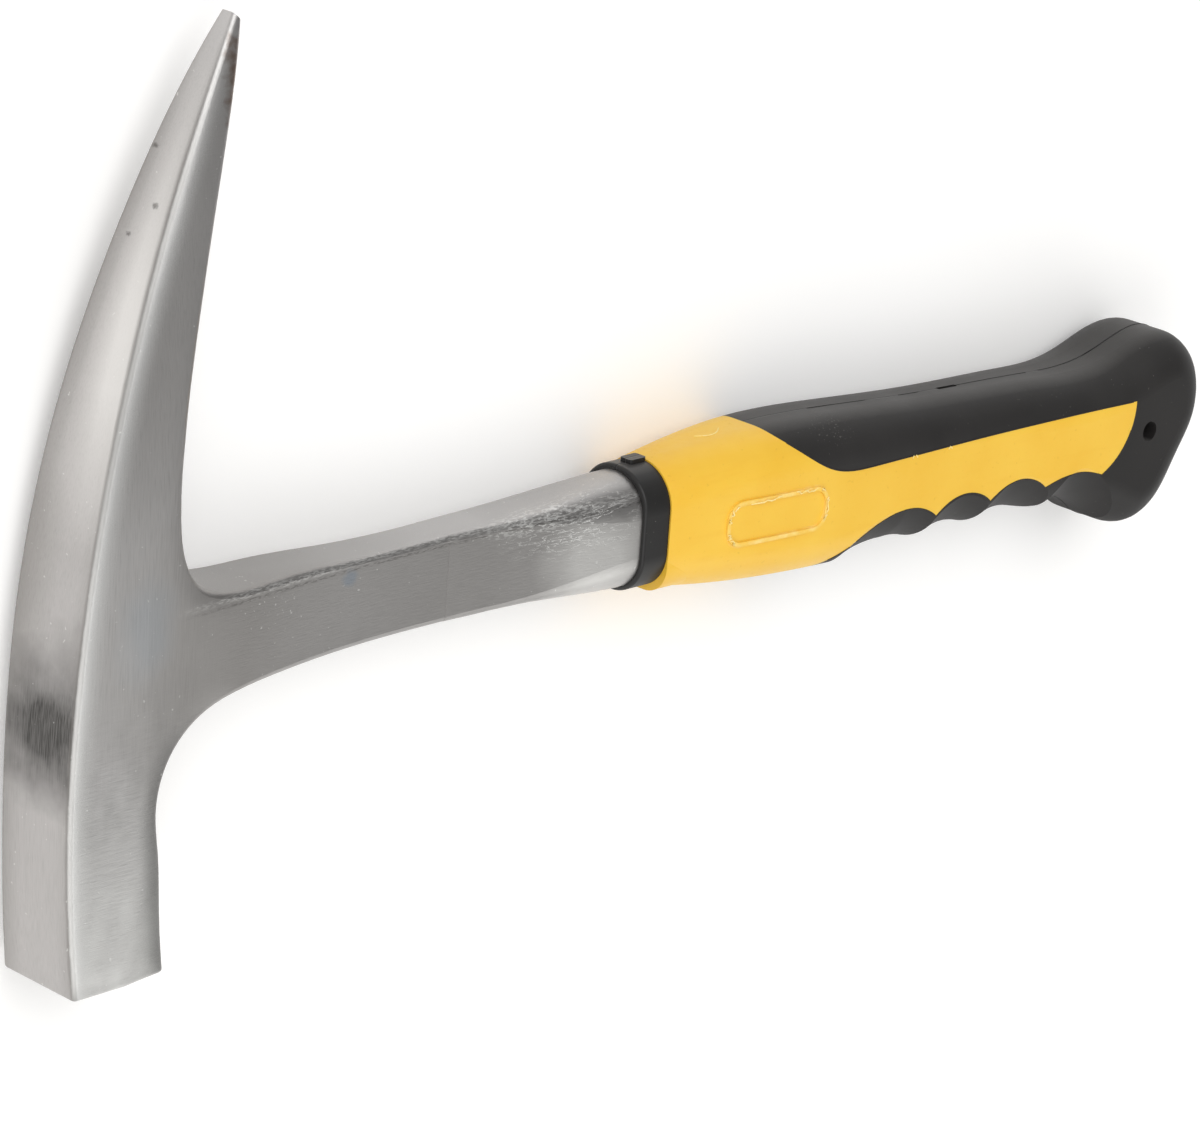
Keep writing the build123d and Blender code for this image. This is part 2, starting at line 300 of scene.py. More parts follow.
# %% Steel: crown and light along the front
front_width = {"From Min": head_y + 95, "From Max": head_y + 178, "To Min": 10.4, "To Max": 2.2}
half_width = add(tree, "MapRange", {"Value": along_y, **front_width})
off_middle = add(tree, "Math", {0: places["Z"], 1: middle_z}, operation="SUBTRACT")
across = add(tree, "Math", {0: off_middle, 1: half_width}, operation="DIVIDE")
crown_low = add(tree, "MapRange", {"Value": across, "From Min": -0.40, "From Max": -1.0})
crown_high = add(tree, "MapRange", {"Value": across, "From Min": 0.60, "From Max": 0.95})
crown_high = add(tree, "Math", {0: crown_high, 1: 0.6}, operation="MULTIPLY")
crown = add(tree, "Math", {0: crown_low, 1: crown_high}, operation="MAXIMUM")
crown = add(tree, "Math", {0: crown, 1: front_head}, operation="MULTIPLY")
tone = tint(tree, tone, front_head, 0.45, "ABA7A5")
tone = tint(tree, tone, crown, 0.58, "8A8784")

glow = add(tree, "MapRange", {"Value": across, "From Min": -0.55, "From Max": 0.35})
inside_edge = add(tree, "MapRange", {"Value": across, "From Min": 1.05, "From Max": 0.85})
tip_fade = {"From Min": head_y + 174, "From Max": head_y + 130, "To Min": 0.10, "To Max": 1.0}
off_the_tip = add(tree, "MapRange", {"Value": along_y, **tip_fade})
glow = add(tree, "Math", {0: glow, 1: inside_edge}, operation="MULTIPLY")
glow = add(tree, "Math", {0: glow, 1: off_the_tip}, operation="MULTIPLY")
glow = add(tree, "Math", {0: glow, 1: front_pick}, operation="MULTIPLY")
tone = tint(tree, tone, glow, 0.56, "F0EEEB")
print("steel: the front is", 2 * front_width["To Min"], "mm wide at the head's middle")

# %% [markdown]
# ### The painted dark reflection
# Half-way down the front is a dark patch, a painted reflection of something dark that
# faces the front. One oval with a soft rim would look sprayed on. So a patch has noise
# added to its distance before it fades, which frays its edge, two patches overlap, and
# the grinding lines show through as streaks.

# %% Steel: painted dark reflection on the front


def patch(tree, mm, centre, radii, ragged, grain=0.5, solid=0.35):
    """1 in the solid middle of an oval patch, fading to 0 at a ragged edge."""
    away = add(tree, "VectorMath", {0: mm, 1: centre}, operation="SUBTRACT")
    away = add(tree, "VectorMath", {0: away, 1: radii}, operation="DIVIDE")
    far = add(tree, "VectorMath", {0: away}, operation="LENGTH")
    fray = add(tree, "TexNoise", {"Vector": mm, "Scale": grain, "Detail": 5.0})
    fray = add(tree, "Math", {0: fray, 1: 0.5}, operation="SUBTRACT")
    fray = add(tree, "Math", {0: fray, 1: ragged}, operation="MULTIPLY")
    far = add(tree, "Math", {0: far, 1: fray}, operation="ADD")
    return add(tree, "MapRange", {"Value": far, "From Min": 1.0, "From Max": solid})


# The dark patch is a painted reflection of something dark facing the front
dark_reflection_middle = place(head_low, 0.3, 51.0, 13.0)
dark_reflection = patch(tree, mm, dark_reflection_middle, (30.0, 17.5, 23.0), 0.6, 0.14, solid=0.25)
upper_middle = place(head_low, 0.3, 59.5, 20.0)
upper = patch(tree, mm, upper_middle, (30.0, 16.0, 14.0), 0.8, 0.18, solid=0.1)
upper = add(tree, "Math", {0: upper, 1: 0.55}, operation="MULTIPLY")
streaks = {"From Min": 0.30, "From Max": 0.62, "To Min": 0.72, "To Max": 1.0}
streaky = add(tree, "MapRange", {"Value": lines_up, **streaks})
dark_reflection = add(tree, "Math", {0: dark_reflection, 1: upper}, operation="MAXIMUM")
dark_reflection = add(tree, "Math", {0: dark_reflection, 1: front}, operation="MULTIPLY")
dark_reflection = add(tree, "Math", {0: dark_reflection, 1: streaky}, operation="MULTIPLY")
tone = tint(tree, tone, dark_reflection, 0.93, "353432")

shade = patch(tree, mm, place(head_low, 1.5, 80.0, 3.5), (30.0, 30.0, 8.0), 0.6, 0.08)
shade = add(tree, "Math", {0: shade, 1: front}, operation="MULTIPLY")
tone = tint(tree, tone, shade, 0.28, "807D78")
print("steel: smudge", round(dark_reflection_middle.y - head_y, 1), "mm above the striking face")

# %% [markdown]
# ### Darker pick, root and shank
# The pick's sides, the root where the shank leaves the head and the shank itself are
# tinted darker. A second material would leave a hard line between them, so each is one
# more tint through a soft mask.

# %% Steel: darker regions
pick_shade = {"From Min": head_y + 168, "From Max": head_y + 125, "To Min": 0.0, "To Max": 0.32}
dark_share = add(tree, "MapRange", {"Value": along_y, **pick_shade})
dark_flank = add(tree, "Math", {0: flank, 1: in_pick}, operation="MULTIPLY")
tone = tint(tree, tone, dark_flank, dark_share, "8E8B88")

root = patch(tree, mm, place(head_low, 36.0, 60.0, 20.5), (34.0, 34.0, 12.0), 0.5, 0.06)
tone = tint(tree, tone, root, 0.36, "8A8580")

shank_shade = {"From Min": head_x + 60, "From Max": head_x + 100, "To Min": 0.30, "To Max": 0.52}
shank_share = add(tree, "MapRange", {"Value": along_x, **shank_shade})
shank_flank = add(tree, "Math", {0: flank, 1: on_shank}, operation="MULTIPLY")
tone = tint(tree, tone, shank_flank, shank_share, "85827F")

# The shank's top is darker by the neck, and the swell by the grip has a painted highlight
upper_side = add(tree, "MapRange", {"Value": faces["Y"], "From Min": 0.5, "From Max": 0.85})
by_the_neck = add(
    tree, "MapRange", {"Value": along_x, "From Min": head_x + 92, "From Max": head_x + 58}
)
darker_top = add(tree, "Math", {0: upper_side, 1: by_the_neck}, operation="MULTIPLY")
tone = tint(tree, tone, darker_top, 0.50, "7F7C79")
lit = patch(tree, mm, place(head_low, 135.5, 59.5, 18.3), (17.0, 12.0, 9.0), 0.3, 0.12)
tone = tint(tree, tone, lit, 0.62, "E2E1DE")
print("steel: pick, root and shank toned,", len(tree.nodes), "nodes so far")

# %% [markdown]
# ### Rolled edges
# The grinder rolls the head's long edges into broad soft curves. Rounding the solid
# that far would eat into its faces, so the Bevel node turns the shading normal as if
# the edge had a radius of several millimetres. The turned normal also shows how near
# an edge is, which places a band of painted highlight in front and one of painted shade
# behind.

# %% Steel: bands beside the rolled edges
EDGE_RADIUS = 7.5
rolled = add(tree, "Bevel", {"Radius": EDGE_RADIUS * MM}, samples=4)
tilt = add(tree, "SeparateXYZ", {"Vector": rolled}).outputs["X"]
forward_tilt = add(tree, "Math", {0: tilt, 1: -1.0}, operation="MULTIPLY")
near_front = add(tree, "MapRange", {"Value": forward_tilt, "From Min": 0.02, "From Max": 0.17})
near_front = add(tree, "Math", {0: near_front, 1: flank_head}, operation="MULTIPLY")
flank_poll = add(tree, "Math", {0: flank_head, 1: in_poll}, operation="MULTIPLY")
near_rear = add(tree, "MapRange", {"Value": tilt, "From Min": 0.04, "From Max": 0.30})
near_rear = add(tree, "Math", {0: near_rear, 1: flank_poll}, operation="MULTIPLY")
# A painted highlight beside the front edges, and painted shade beside the poll's rear edges
tone = tint(tree, tone, near_front, 0.80, "E0E0DE")
tone = tint(tree, tone, near_rear, 0.75, "5C5B58")

# The ridge itself, where front and flank meet, is darkened to a thin line of painted shade that
# dims its highlight
past_front = add(tree, "MapRange", {"Value": steepness, "From Min": 0.12, "From Max": 0.35})
before_flank = add(tree, "MapRange", {"Value": steepness, "From Min": 0.995, "From Max": 0.94})
front_tilt = add(tree, "MapRange", {"Value": faces["X"], "From Min": -0.10, "From Max": -0.35})
front_tilt = add(tree, "Math", {0: in_head, 1: front_tilt}, operation="MULTIPLY")
ridge = add(tree, "Math", {0: past_front, 1: before_flank}, operation="MULTIPLY")
ridge = add(tree, "Math", {0: ridge, 1: front_tilt}, operation="MULTIPLY")
tone = tint(tree, tone, ridge, 0.42, "7E7B77")
print("steel: edges look rounded to", EDGE_RADIUS, "mm")

# %% [markdown]
# ### Stains and dings
# Use leaves a bluish bloom where the shank meets the head, a small blue spot on the
# shank, a brown handling stain by the tip, and dings in the pick's front. One noise
# over all the steel could make such marks, but they are few and each has its own place,
# so each is a single patch.

# %% Steel: stains and dings
bluish = patch(tree, mm, place(head_low, 17.0, 70.0, 20.8), (9.0, 12.0, 6.0), 0.8, 0.12)
tone = tint(tree, tone, bluish, 0.30, "A9B3BC")
blue_spot = patch(tree, mm, place(head_low, 70.2, 68.2, 16.3), (2.6, 2.0, 2.0), 0.9, 0.6)
tone = tint(tree, tone, blue_spot, 0.30, "6F8DA8")
stain = patch(tree, mm, place(head_low, 37.5, 167.0, 14.5), (3.2, 12.0, 6.0), 1.5, 0.45)
stain = add(tree, "Math", {0: stain, 1: flank}, operation="MULTIPLY")
tone = tint(tree, tone, stain, 0.75, "6E5646")

DINGS = (  # place in mm from the head's low corner, then radius in mm
    (19.1, 140.9, 7.9, 0.8),
    (21.5, 146.7, 12.2, 1.1),
    (25.6, 156.1, 6.7, 0.9),
)
dings = None
for x, y, z, radius in DINGS:
    oval = (radius, radius * 0.6, radius)
    ding = patch(tree, mm, place(head_low, x, y, z), oval, 1.5, 1.6)
    if dings is not None:
        ding = add(tree, "Math", {0: dings, 1: ding}, operation="MAXIMUM")
    dings = ding
tone = tint(tree, tone, dings, 0.60, "4C4944")
print("steel:", len(DINGS), "dings and 3 stains")

# %% [markdown]
# ### Scores, chalk and specks
# Rock dust fills fine scores in the swell by the grip and leaves specks on the shank.
# A score is a thin line, and noise has none, but the narrow band where noise crosses
# its middle value is one. The specks are what is left when noise is cut near its top.

# %% Steel: pale marks of rock dust
# Scores some 6 mm long and 1 mm apart
scored = patch(tree, mm, place(head_low, 130.0, 68.0, 17.0), (24.0, 8.0, 8.0), 0.7, 0.15)
drawn_out = add(tree, "VectorMath", {0: mm, 1: (0.28, 1.8, 1.8)}, operation="MULTIPLY")
scores = add(tree, "TexNoise", {"Vector": drawn_out, "Scale": 0.55, "Detail": 5.0})
scores = add(tree, "Math", {0: scores, 1: 0.52}, operation="SUBTRACT")
scores = add(tree, "Math", {0: scores}, operation="ABSOLUTE")
thin = add(tree, "MapRange", {"Value": scores, "From Min": 0.018, "From Max": 0.0})
marks = add(tree, "Math", {0: thin, 1: scored}, operation="MULTIPLY")

# Specks of under 1 mm on the shank
speckled = patch(tree, mm, place(head_low, 49.0, 66.5, 17.8), (9.0, 6.0, 6.0), 0.8, 0.2)
specks = add(tree, "TexNoise", {"Vector": mm, "Scale": 1.3, "Detail": 2.0})
specks = add(tree, "MapRange", {"Value": specks, "From Min": 0.66, "From Max": 0.74})
specks = add(tree, "Math", {0: specks, 1: speckled}, operation="MULTIPLY")
marks = add(tree, "Math", {0: marks, 1: specks}, operation="MAXIMUM")

# Chalky dabs some 1 mm long on the swell's upper corner
chalk = patch(tree, mm, place(head_low, 121.0, 70.2, 16.0), (21.0, 2.6, 5.0), 0.7, 0.3)
drawn_out = add(tree, "VectorMath", {0: mm, 1: (0.6, 1.6, 1.6)}, operation="MULTIPLY")
chalky = add(tree, "TexNoise", {"Vector": drawn_out, "Scale": 1.2, "Detail": 4.0})
chalky = add(tree, "MapRange", {"Value": chalky, "From Min": 0.50, "From Max": 0.60})
chalky = add(tree, "Math", {0: chalk, 1: chalky}, operation="MULTIPLY")
marks = add(tree, "Math", {0: marks, 1: chalky}, operation="MAXIMUM")

# A few fainter specks of about 1 mm all over
all_over = add(tree, "TexNoise", {"Vector": mm, "Scale": 0.9, "Detail": 1.0})
all_over = add(tree, "MapRange", {"Value": all_over, "From Min": 0.75, "From Max": 0.80})
all_over = add(tree, "Math", {0: all_over, 1: 0.5}, operation="MULTIPLY")
marks = add(tree, "Math", {0: marks, 1: all_over}, operation="MAXIMUM")
tone = tint(tree, tone, marks, 0.70, "F2F2EF")
print("steel: four kinds of pale marks,", len(tree.nodes), "nodes so far")

# %% [markdown]
# ### The shank's upper corner
# The corner along the top of the shank is rubbed bright, with a dark line just below
# it where dirt stays. Both are thin bands at a height on the shank, and a drawn-out
# noise breaks them up, because real wear is never one unbroken line.

# %% Steel: bright corner and dark line
BRIGHT_HEIGHT = 71.0
DARK_HEIGHT = 69.7
drawn_out = add(tree, "VectorMath", {0: mm, 1: (0.4, 1.8, 1.8)}, operation="MULTIPLY")
broken = add(tree, "TexNoise", {"Vector": drawn_out, "Scale": 2.0, "Detail": 4.0})
broken = add(tree, "MapRange", {"Value": broken, "From Min": 0.42, "From Max": 0.6})
for height, fade, full, share, code in (
    (BRIGHT_HEIGHT, 0.9, 0.2, 0.6, "F4F3F0"),
    (DARK_HEIGHT, 0.5, 0.1, 0.50, "4F4C49"),
):
    band = add(tree, "Math", {0: along_y, 1: head_y + height}, operation="SUBTRACT")
    band = add(tree, "Math", {0: band}, operation="ABSOLUTE")
    band = add(tree, "MapRange", {"Value": band, "From Min": fade, "From Max": full})
    for mask in (on_shank, broken, flank):
        band = add(tree, "Math", {0: band, 1: mask}, operation="MULTIPLY")
    tone = tint(tree, tone, band, share, code)
print("steel: bands at", BRIGHT_HEIGHT, "and", DARK_HEIGHT, "mm above the striking face")

# %% [markdown]
# ### Relief, roughness and the finished steel
# Bare steel is fully metallic, and its metal colour is the tone made above. Satin
# grinding puts its roughness near 0.4, a little smoother in the bright streaks. Lines,
# grit and dings could be cut into the mesh, but none is over 0.15 mm deep and they
# never show at the outline, so they are bumps.

# %% Steel: relief
LINE_DEPTH = 0.028
GRIT_DEPTH = 0.004
DING_DEPTH = 0.03

# The rolled normal shades the head's flanks only, because the shank's edges are crisp
turn_share = add(tree, "Math", {0: flank_head, 1: 0.62}, operation="MULTIPLY")
turned = add(
    tree, "Mix", {"Factor": turn_share, VECTOR_A: facing, VECTOR_B: rolled},
    data_type="VECTOR",
)
shape = add(tree, "VectorMath", {0: turned}, operation="NORMALIZE")

# Pits left by the grit are some 0.05 mm wide, and are drawn at 0.14 mm to show
grit = add(tree, "TexNoise", {"Vector": mm, "Scale": 7.0, "Detail": 1.0})
flaws = add(tree, "Math", {0: dings, 1: 5.0}, operation="MULTIPLY")
flaws = add(tree, "Math", {0: flaws, 1: marks}, operation="ADD")
flaws = add(tree, "Math", {0: flaws, 1: -1.0}, operation="MULTIPLY")
relief = shape
for height, depth in ((lines, LINE_DEPTH), (grit, GRIT_DEPTH), (flaws, DING_DEPTH)):
    sockets = {"Height": height, "Strength": 1.0, "Distance": depth * MM, "Normal": relief}
    relief = add(tree, "Bump", sockets)
print("steel: the lines are", LINE_DEPTH, "mm deep")

# %% Steel: finish the material
SATIN = {"To Min": 0.42, "To Max": 0.33}


def finish_material(tree, sockets):
    """The surface itself, from the sockets that matter."""
    surface = add(tree, "BsdfPrincipled", sockets)
    add(tree, "OutputMaterial", {"Surface": surface})


def dress(node_name, material):
    """Gives a CAD node its material."""
    mesh = nodes[node_name].data
    mesh.materials.clear()
    mesh.materials.append(material)


rough = add(tree, "MapRange", {"Value": streak, **SATIN})
worn = add(tree, "Math", {0: scored, 1: 0.06}, operation="MULTIPLY")
rough = add(tree, "Math", {0: rough, 1: worn}, operation="SUBTRACT")
finish_material(
    tree, {"Base Color": tone, "Metallic": 1.0, "Roughness": rough, "Normal": relief}
)
dress("forged_head", steel)
print("steel nodes:", len(tree.nodes))

# %% [markdown]
# ## Moulded polypropylene core
# The hard core is polypropylene, injected round the tang in the first shot of a
# two-shot moulding. To the eye it is a warm solid yellow with a soft gloss, faint flow
# marks drawn out from the gate, and the slight orange peel of a moulded skin. A flat
# colour would look like paint, so two yellows drift into each other and a little light
# goes under the surface.

# %% Core: yellow with flow marks
yellow, tree, mm, facing = new_material("moulded_yellow_pp")

# Two yellows drift over some 20 mm, and flow marks run along the handle
tone = two_tones(tree, mm, 0.05, 0.3, 0.7, "EFBC36", "F4C644")
drawn_out = add(tree, "VectorMath", {0: mm, 1: (0.10, 0.8, 0.8)}, operation="MULTIPLY")
flow = add(tree, "TexNoise", {"Vector": drawn_out, "Scale": 0.6, "Detail": 3.0})
flow_marks = add(tree, "MapRange", {"Value": flow, "From Min": 0.55, "From Max": 0.75})
tone = tint(tree, tone, flow_marks, 0.18, "E8AE2A")

# Grime in specks of about 1 mm
grime = add(tree, "TexNoise", {"Vector": mm, "Scale": 0.9, "Detail": 4.0})
grime = add(tree, "MapRange", {"Value": grime, "From Min": 0.66, "From Max": 0.74})
tone = tint(tree, tone, grime, 0.22, "C08F2C")
print("core: base made,", len(tree.nodes), "nodes so far")

# %% [markdown]
# ### The whitened bead
# A raised bead runs round the bare field on the barrel, and trimming has whitened it.
# The bead is a rounded oblong, and the distance to one has a short formula: take away
# the straight part along each axis, and measure what is left. That gives a mask that
# follows the bead exactly, without painting or a UV map.

# %% Core: whitened bead and finish
PILL_HALF = Vector((14.0, 4.4))
PILL_ROUND = 3.6
PEEL_DEPTH = 0.018
FLOW_DEPTH = 0.02
places = add(tree, "SeparateXYZ", {"Vector": mm}).outputs
squares = []
for axis, centre, half in (
    ("X", badge_middle.x, PILL_HALF.x), ("Y", badge_middle.y, PILL_HALF.y),
):
    away = add(tree, "Math", {0: places[axis], 1: centre}, operation="SUBTRACT")
    away = add(tree, "Math", {0: away}, operation="ABSOLUTE")
    away = add(tree, "Math", {0: away, 1: half - PILL_ROUND}, operation="SUBTRACT")
    away = add(tree, "Math", {0: away, 1: 0.0}, operation="MAXIMUM")
    squares.append(add(tree, "Math", {0: away, 1: away}, operation="MULTIPLY"))
ring = add(tree, "Math", {0: squares[0], 1: squares[1]}, operation="ADD")
ring = add(tree, "Math", {0: ring}, operation="SQRT")
ring = add(tree, "Math", {0: ring, 1: PILL_ROUND}, operation="SUBTRACT")
from_bead = add(tree, "Math", {0: ring}, operation="ABSOLUTE")
on_bead = add(tree, "MapRange", {"Value": from_bead, "From Min": 0.75, "From Max": 0.25})

patchy = add(tree, "TexNoise", {"Vector": mm, "Scale": 0.35, "Detail": 5.0})
patches = {"From Min": 0.40, "From Max": 0.62, "To Min": 0.25, "To Max": 1.0}
patchy = add(tree, "MapRange", {"Value": patchy, **patches})
upper_half = add(
    tree, "MapRange", {"Value": places["Z"], "From Min": middle_z, "From Max": middle_z + 2.0}
)
whitened = add(tree, "Math", {0: on_bead, 1: patchy}, operation="MULTIPLY")
whitened = add(tree, "Math", {0: whitened, 1: upper_half}, operation="MULTIPLY")
tone = tint(tree, tone, whitened, 0.55, "FFE9A0")

# Orange peel has hollows of about 1 mm, and makes the gloss uneven too
peel = add(tree, "TexNoise", {"Vector": mm, "Scale": 0.9, "Detail": 2.0})
relief = add(
    tree, "Bump", {"Height": peel, "Strength": 1.0, "Distance": PEEL_DEPTH * MM}
)
relief = add(
    tree, "Bump",
    {"Height": flow, "Strength": 1.0, "Distance": FLOW_DEPTH * MM, "Normal": relief},
)
soft_gloss = {"From Min": 0.3, "From Max": 0.7, "To Min": 0.36, "To Max": 0.46}
rough = add(tree, "MapRange", {"Value": peel, **soft_gloss})
finish_material(
    tree,
    {"Base Color": tone, "Roughness": rough, "IOR": 1.49, "Normal": relief,
     "Subsurface Weight": 0.06, "Subsurface Radius": (0.004, 0.002, 0.0005),
     "Subsurface Scale": 0.5},
)
dress("grip_core", yellow)
print("core nodes:", len(tree.nodes))

# %% [markdown]
# ## Thermoplastic rubber cover and collar
# The second shot is black thermoplastic rubber. To the eye it is a deep warm grey with
# a broad dull sheen, a fine leather-like grain, a parting line where the two mould
# halves met, and dust that clings to it. The spine is lighter where it faces up, a
# painted highlight, and the parting line's groove is darkened with painted shade. The
# collar is the same rubber from a smoother part of the mould, so one function makes
# both, and only the greys, the roughness and the depth of the grain differ.

# %% Rubber: parting line and dust
LINE_WIDTH = 0.28
WANDER = 0.35
DUSTY_MIDDLE = place(cover_low, 17.5, 39.5, 21.6)


def parting_line(tree, mm):
    """1 on a thin line that wanders a little to each side of the middle plane."""
    flat = add(tree, "VectorMath", {0: mm, 1: (0.1, 0.1, 0.0)}, operation="MULTIPLY")
    wander = add(tree, "TexNoise", {"Vector": flat, "Scale": 1.0, "Detail": 3.0})
    wander = add(tree, "Math", {0: wander, 1: 0.5}, operation="SUBTRACT")
    wander = add(tree, "Math", {0: wander, 1: WANDER}, operation="MULTIPLY")
    height = add(tree, "SeparateXYZ", {"Vector": mm}).outputs["Z"]
    off = add(tree, "Math", {0: height, 1: middle_z}, operation="SUBTRACT")
    off = add(tree, "Math", {0: off, 1: wander}, operation="ADD")
    off = add(tree, "Math", {0: off}, operation="ABSOLUTE")
    return add(tree, "MapRange", {"Value": off, "From Min": LINE_WIDTH, "From Max": 0.06})


def dust_specks(tree, mm):
    """Dust in specks of 0.5 mm, and more of it in one place behind the barrel."""
    dust = add(tree, "TexNoise", {"Vector": mm, "Scale": 1.9, "Detail": 1.0})
    dust = add(tree, "MapRange", {"Value": dust, "From Min": 0.77, "From Max": 0.81})
    dust = add(tree, "Math", {0: dust, 1: 0.6}, operation="MULTIPLY")
    more = add(tree, "TexNoise", {"Vector": mm, "Scale": 2.4, "Detail": 0.0})
    more = add(tree, "MapRange", {"Value": more, "From Min": 0.72, "From Max": 0.78})
    more = add(tree, "Math", {0: more, 1: 0.5}, operation="MULTIPLY")
    here = patch(tree, mm, DUSTY_MIDDLE, (9.0, 5.0, 6.0), 0.8, 0.2)
    more = add(tree, "Math", {0: here, 1: more}, operation="MULTIPLY")
    return add(tree, "Math", {0: dust, 1: more}, operation="MAXIMUM")


print("rubber: the parting line is", 2 * LINE_WIDTH, "mm wide at most")

# %% Rubber for the cover and the collar
PARTING_DEPTH = 0.12


def rubber(name, dark, pale, roughness, grain_depth):
    """Black rubber with grain, a parting line, dust and a painted highlight on the spine."""
    material, tree, mm, facing = new_material(name)

    # Handling leaves the black uneven over some 12 mm
    cloud = add(tree, "TexNoise", {"Vector": mm, "Scale": 0.08, "Detail": 4.0})
    share = add(tree, "MapRange", {"Value": cloud, "From Min": 0.35, "From Max": 0.65})
    sockets = {"Factor": share, UNDER: colour(dark), OVER: colour(pale)}
    tone = add(tree, "Mix", sockets, data_type="RGBA")
    parting = parting_line(tree, mm)
    # The parting line is darkened as painted shade in its groove, which the bump below cuts
    tone = tint(tree, tone, parting, 0.75, "050505")
    dust = dust_specks(tree, mm)
    sockets = {"Factor": dust, UNDER: tone, OVER: colour("6F6C68")}
    tone = add(tree, "Mix", sockets, data_type="RGBA")

    # The spine is lighter where it faces up, a painted highlight, and the finger side is rougher
    upward = add(tree, "SeparateXYZ", {"Vector": facing}).outputs["Y"]
    spine_highlight = add(tree, "MapRange", {"Value": upward, "From Min": 0.86, "From Max": 1.0})
    tone = tint(tree, tone, spine_highlight, 0.42, "5B5957")
    spread = {"To Min": roughness - 0.05, "To Max": roughness + 0.05}
    rough = add(tree, "MapRange", {"Value": cloud, "From Min": 0.3, "From Max": 0.7, **spread})
    below = {"From Min": -0.3, "From Max": -0.9, "To Min": 0.0, "To Max": 0.20}
    finger_side = add(tree, "MapRange", {"Value": upward, **below})
    rough = add(tree, "Math", {0: rough, 1: finger_side}, operation="ADD")

    # Real mould grain is about 0.15 mm wide, and is drawn twice as coarse to show
    grain = add(tree, "TexNoise", {"Vector": mm, "Scale": 3.6, "Detail": 2.0})
    relief = add(
        tree, "Bump", {"Height": grain, "Strength": 1.0, "Distance": grain_depth * MM}
    )
    beside_line = add(tree, "Math", {0: 1.0, 1: parting}, operation="SUBTRACT")
    groove = {"Height": beside_line, "Strength": 1.0, "Distance": PARTING_DEPTH * MM}
    relief = add(tree, "Bump", {**groove, "Normal": relief})
    finish_material(
        tree,
        {"Base Color": tone, "Roughness": rough, "Normal": relief, "IOR": 1.5,
         "Specular IOR Level": 0.38, "Sheen Weight": 0.06, "Sheen Roughness": 0.4},
    )
    return material


cover_rubber = rubber("moulded_black_tpr", "1B1918", "22201F", 0.58, 0.020)
collar_rubber = rubber("collar_black_tpr", "171616", "1E1D1C", 0.42, 0.008)
dress("grip_cover", cover_rubber)
dress("front_collar", collar_rubber)
print("rubber:", cover_rubber.name, "and", collar_rubber.name)

# %% [markdown]
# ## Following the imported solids
# Mould marks are thin beads that run along edges of the grip. Their paths could be
# typed in, but the solids already hold them: pick the right edges of a node's mesh,
# join those that share an end, and lay a round bead along each chain. A curve with a
# bevel depth makes such a bead closed at both ends, with very few faces.

# %% Chains of edges


def merged_copy(node_name):
    """A bmesh of a CAD node with its loose triangles joined."""
    copy = bmesh.new()
    copy.from_mesh(nodes[node_name].data)
    bmesh.ops.remove_doubles(copy, verts=copy.verts, dist=0.001 * MM)
    return copy


def edge_middle(edge):
    """The point half-way along an edge."""
    return (edge.verts[0].co + edge.verts[1].co) / 2


def edge_paths(edges):
    """Chains of points along edges that share end points, of four points or more."""
    left = dict.fromkeys(edges)
    paths = []
    while left:
        edge = next(iter(left))
        del left[edge]
        chain = [edge.verts[0], edge.verts[1]]
        for grow_front in (False, True):
            while True:
                end = chain[0] if grow_front else chain[-1]
                following = [e for e in end.link_edges if e in left]
                if len(following) != 1:
                    break
                del left[following[0]]
                chain.insert(0 if grow_front else len(chain), following[0].other_vert(end))
        if len(chain) > 3:
            paths.append([v.co.copy() for v in chain])
    return paths


core = merged_copy("grip_core")
cover = merged_copy("grip_cover")
print("joined points:", len(core.verts), "in the core,", len(cover.verts), "in the cover")

# %% [markdown]
# ## Seam round the window
# Where the rubber meets the hard core, a hair of rubber creeps over the edge: to the
# eye a dull near-black line with some brown in it. A dark line in the material would
# stay flat at the outline, so it is a real bead on the core's sharp window edges. The
# bare field's own bead is left out, and so are the barrel in front and the very end.

# %% A piece made of beads


def bead_piece(name, paths, radius, material):
    """Thin round beads along paths, as one piece with a radius in mm."""
    curve = bpy.data.curves.new(name, "CURVE")
    curve.dimensions = "3D"
    curve.bevel_depth = radius * MM
    curve.bevel_resolution = 2
    curve.use_fill_caps = True
    for path in paths:
        spline = curve.splines.new("POLY")
        spline.points.add(len(path) - 1)
        for point, co in zip(spline.points, path):
            point.co = (*co, 1.0)
    shape = bpy.data.objects.new(name + "_path", curve)
    scene.collection.objects.link(shape)
    ready = shape.evaluated_get(bpy.context.evaluated_depsgraph_get())
    mesh = bpy.data.meshes.new_from_object(ready)
    mesh.name = name
    bpy.data.objects.remove(shape)
    piece = bpy.data.objects.new(name, mesh)
    scene.collection.objects.link(piece)
    mesh.materials.clear()
    mesh.materials.append(material)
    for face in mesh.polygons:
        face.use_smooth = True
    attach(piece, "root")
    print(name, "paths:", len(paths), "faces:", len(mesh.polygons))


SEAM_RADIUS = 0.13
print("the seam will be", 2 * SEAM_RADIUS, "mm thick")

# %% Window seam
SHARP = math.radians(55)
FIELD_X, FIELD_Y = 17, 7  # mm from the bare field's middle that hold its bead
BARREL_LENGTH = 29
END_MARGIN = 1

rim_edges = []
for edge in core.edges:
    if len(edge.link_faces) != 2 or not edge.is_convex:
        continue
    spot = edge_middle(edge)
    from_badge = spot / MM - badge_middle
    if abs(from_badge.x) < FIELD_X and abs(from_badge.y) < FIELD_Y:
        continue
    beyond_barrel = spot.x > core_low.x + BARREL_LENGTH * MM
    before_end = spot.x < core_high.x - END_MARGIN * MM
    if edge.calc_face_angle() > SHARP and beyond_barrel and before_end:
        rim_edges.append(edge)
seam_paths = edge_paths(rim_edges)
core.free()

